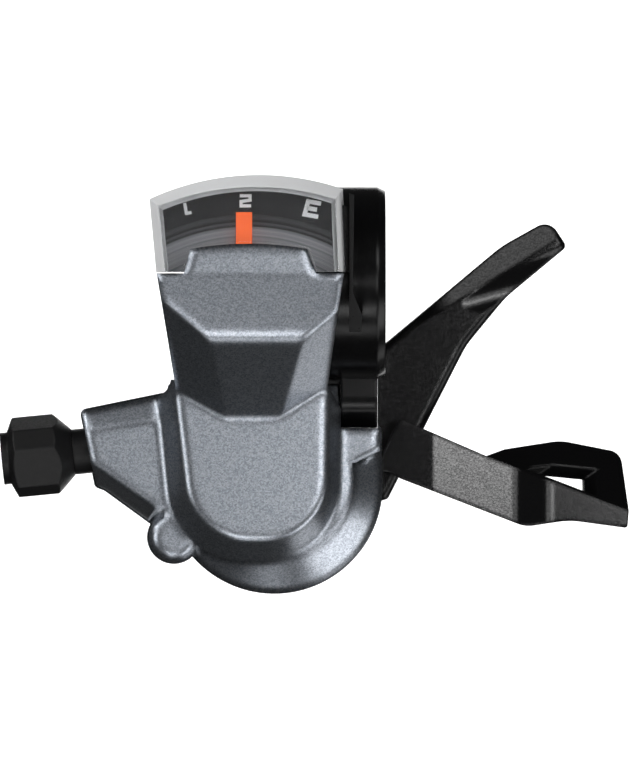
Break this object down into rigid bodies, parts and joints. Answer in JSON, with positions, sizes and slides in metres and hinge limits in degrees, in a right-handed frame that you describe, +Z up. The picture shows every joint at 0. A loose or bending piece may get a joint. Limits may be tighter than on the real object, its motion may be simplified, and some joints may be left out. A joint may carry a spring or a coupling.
{
  "type": "trigger gear shifter",
  "caption": "Left-hand trigger gear shifter with a handlebar clamp, silver cover, gear display with a needle, barrel adjuster, thumb lever and release lever.",
  "frame": {"origin": "centre of the handlebar clamp's bore, half way along its width", "axes": "+X along the bar towards the grip, +Y towards the rider, +Z up, along the main pivot"},
  "size_m": [0.0947, 0.0627, 0.0485],
  "materials": {
    "silver_cover": "satin silver-grey metallic paint with a fine sparkle",
    "black_casting": "gloss black paint",
    "black_lever": "satin black paint",
    "black_plastic": "satin black",
    "clear_window": "clear moulded plastic",
    "orange_needle": "bright orange",
    "white_nylon": "plain",
    "bolt_steel": "dark plated",
    "zinc_steel": "zinc plated",
    "spring_steel": "plain wire",
    "brass_insert": "plain"
  },
  "bodies": {
    "base": {"top_cover": "silver_cover", "clamp_bracket": "black_casting", "adjuster_sleeve": "black_plastic", "indicator_housing": "black_plastic", "dial_plate": "black_plastic", "indicator_lens": "clear_window", "winder_washer": "white_nylon", "release_washer": "white_nylon", "clamp_bolt": "bolt_steel", "clamp_nut": "bolt_steel", "seat_screws": "bolt_steel", "cover_screws": "bolt_steel", "indicator_screws": "bolt_steel", "shaft_nut": "bolt_steel", "lever_washer": "bolt_steel", "base_plate": "zinc_steel", "main_shaft": "zinc_steel", "stop_pawl_pin": "zinc_steel", "release_pin": "zinc_steel", "needle_pin": "zinc_steel", "shaft_clip": "zinc_steel", "lever_spring": "spring_steel", "adjuster_spring": "spring_steel", "cable_insert": "brass_insert"},
    "winder": {"cable_drum": "white_nylon", "ratchet_plate": "zinc_steel", "display_cam": "white_nylon", "winder_spring": "spring_steel"},
    "main_lever": {"main_lever": "black_lever", "lever_bush": "white_nylon", "drive_pawl_pin": "zinc_steel"},
    "drive_pawl": {"drive_pawl": "zinc_steel"},
    "stop_pawl": {"stop_pawl": "zinc_steel"},
    "release_lever": {"release_lever": "black_lever"},
    "needle": {"needle": "orange_needle"},
    "barrel_adjuster": {"barrel_adjuster": "black_plastic"}
  },
  "joints": [
    {"name": "main_lever_turn", "type": "hinge", "parent": "base", "child": "main_lever", "pos_m": [-0.0105, -0.0304, -0.0035], "axis": [0, 0, -1], "range_deg": [0, 42], "stiffness_Nm_per_rad": 0.25, "springref_deg": -17.19},
    {"name": "release_lever_turn", "type": "hinge", "parent": "base", "child": "release_lever", "pos_m": [0.0006, -0.0252, -0.0099], "axis": [0, 0, -1], "range_deg": [-9, 9], "stiffness_Nm_per_rad": 0.5},
    {"name": "winder_turn", "type": "hinge", "parent": "base", "child": "winder", "pos_m": [-0.0105, -0.0304, -0.0035], "axis": [0, 0, -1], "range_deg": [-42, 42]},
    {"name": "needle_turn", "type": "hinge", "parent": "base", "child": "needle", "pos_m": [-0.0143, -0.0205, 0.002], "axis": [0, 0, -1], "range_deg": [-17, 17]},
    {"name": "stop_pawl_turn", "type": "hinge", "parent": "base", "child": "stop_pawl", "pos_m": [-0.00542, -0.01898, -0.0059], "axis": [0, 0, -1], "range_deg": [0, 9], "stiffness_Nm_per_rad": 0.01},
    {"name": "drive_pawl_turn", "type": "hinge", "parent": "main_lever", "child": "drive_pawl", "pos_m": [-0.00425, -0.04123, -0.0059], "axis": [0, 0, -1], "range_deg": [0, 9], "stiffness_Nm_per_rad": 0.01},
    {"name": "barrel_turn", "type": "hinge", "parent": "base", "child": "barrel_adjuster", "pos_m": [-0.04739, -0.02602, -0.0035], "axis": [-0.9954, -0.0958, 0], "range_deg": [0, 1080]}
  ],
  "couplings": [
    {"joint": "needle_turn", "follows": "winder_turn", "ratio": 0.40476}
  ]
}
